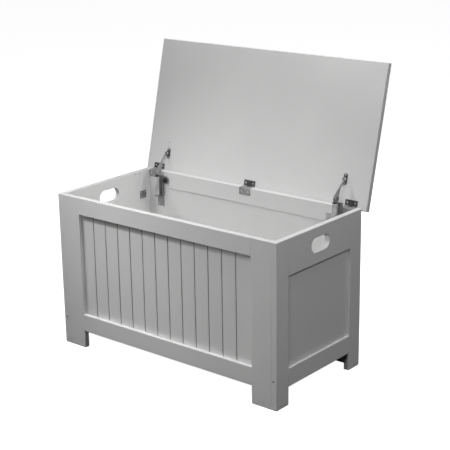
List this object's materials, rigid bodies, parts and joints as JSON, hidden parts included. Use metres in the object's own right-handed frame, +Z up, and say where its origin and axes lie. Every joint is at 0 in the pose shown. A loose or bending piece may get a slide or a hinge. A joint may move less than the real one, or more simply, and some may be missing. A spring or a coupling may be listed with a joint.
{
  "type": "storage bench",
  "caption": "Painted storage bench: a framed box on short legs with a grooved front, side hand holes and a hinged seat lid on damped stays.",
  "frame": {"origin": "on the floor under the middle of the bench as stored, with the lid open", "axes": "+Z up, +X to the right seen from the front, front face towards -Y, hinge axis along X"},
  "size_m": [0.8, 0.4932, 0.8319],
  "materials": {
    "white_paint": "satin lacquer on MDF",
    "board_paint": "thin matt paint on MDF",
    "zinc_steel": "zinc-plated steel",
    "dark_steel": "dark plated steel",
    "chrome": "polished",
    "rubber": "matt"
  },
  "bodies": {
    "case": {"front_left_stile": "white_paint", "front_right_stile": "white_paint", "front_top_rail": "white_paint", "front_bottom_rail": "white_paint", "front_bead_panel": "white_paint", "back_left_stile": "white_paint", "back_right_stile": "white_paint", "back_top_rail": "white_paint", "back_bottom_rail": "white_paint", "back_panel": "board_paint", "front_batten": "board_paint", "back_batten": "board_paint", "bottom_board": "board_paint", "left_hinge_case_leaf": "zinc_steel", "left_hinge_pin": "dark_steel", "centre_hinge_case_leaf": "zinc_steel", "centre_hinge_pin": "dark_steel", "right_hinge_case_leaf": "zinc_steel", "right_hinge_pin": "dark_steel", "left_front_stile": "white_paint", "left_back_stile": "white_paint", "left_top_rail": "white_paint", "left_bottom_rail": "white_paint", "left_panel": "white_paint", "left_edge_screw": "dark_steel", "left_stay_rail": "zinc_steel", "left_wall_plate": "zinc_steel", "right_front_stile": "white_paint", "right_back_stile": "white_paint", "right_top_rail": "white_paint", "right_bottom_rail": "white_paint", "right_panel": "white_paint", "right_edge_screw": "dark_steel", "right_stay_rail": "zinc_steel", "right_wall_plate": "zinc_steel", "left_back_buffer_base": "zinc_steel", "left_back_buffer": "rubber", "right_back_keeper": "chrome"},
    "lid": {"lid": "white_paint", "left_hinge_lid_leaf": "dark_steel", "centre_hinge_lid_leaf": "dark_steel", "right_hinge_lid_leaf": "dark_steel", "left_stay_lid_bracket": "dark_steel", "left_stay_bracket_pin": "chrome", "right_stay_lid_bracket": "dark_steel", "right_stay_bracket_pin": "chrome"},
    "left_arm": {"left_stay_arm": "zinc_steel", "left_stay_arm_rivet": "dark_steel"},
    "left_carriage": {"left_stay_carriage": "zinc_steel", "left_stay_damper_tube": "chrome", "left_stay_seal": "rubber", "left_stay_rod_eye": "dark_steel"},
    "right_arm": {"right_stay_arm": "zinc_steel", "right_stay_arm_rivet": "dark_steel"},
    "right_carriage": {"right_stay_carriage": "zinc_steel", "right_stay_damper_tube": "chrome", "right_stay_seal": "rubber", "right_stay_rod_eye": "dark_steel"}
  },
  "joints": [
    {"name": "lid_hinge", "type": "hinge", "parent": "case", "child": "lid", "pos_m": [0, 0.13523, 0.4499], "axis": [1, 0, 0], "range_deg": [0, 103.7]},
    {"name": "left_arm_pivot", "type": "hinge", "parent": "lid", "child": "left_arm", "pos_m": [0, 0.14152, 0.50271], "axis": [1, 0, 0], "range_deg": [-49.1, 0]},
    {"name": "left_carriage_slide", "type": "slide", "parent": "case", "child": "left_carriage", "axis": [0, 0, -1], "range_m": [0, 0.069]},
    {"name": "right_arm_pivot", "type": "hinge", "parent": "lid", "child": "right_arm", "pos_m": [0, 0.14602, 0.52117], "axis": [1, 0, 0], "range_deg": [-21.4, 0]},
    {"name": "right_carriage_slide", "type": "slide", "parent": "case", "child": "right_carriage", "axis": [0, 0, -1], "range_m": [0, 0.082]}
  ],
  "couplings": [
    {"joint": "left_arm_pivot", "follows": "lid_hinge", "ratio": -0.4716},
    {"joint": "left_carriage_slide", "follows": "lid_hinge", "m_per_rad": 0.037896},
    {"joint": "right_arm_pivot", "follows": "lid_hinge", "ratio": -0.20511},
    {"joint": "right_carriage_slide", "follows": "lid_hinge", "m_per_rad": 0.044651}
  ]
}
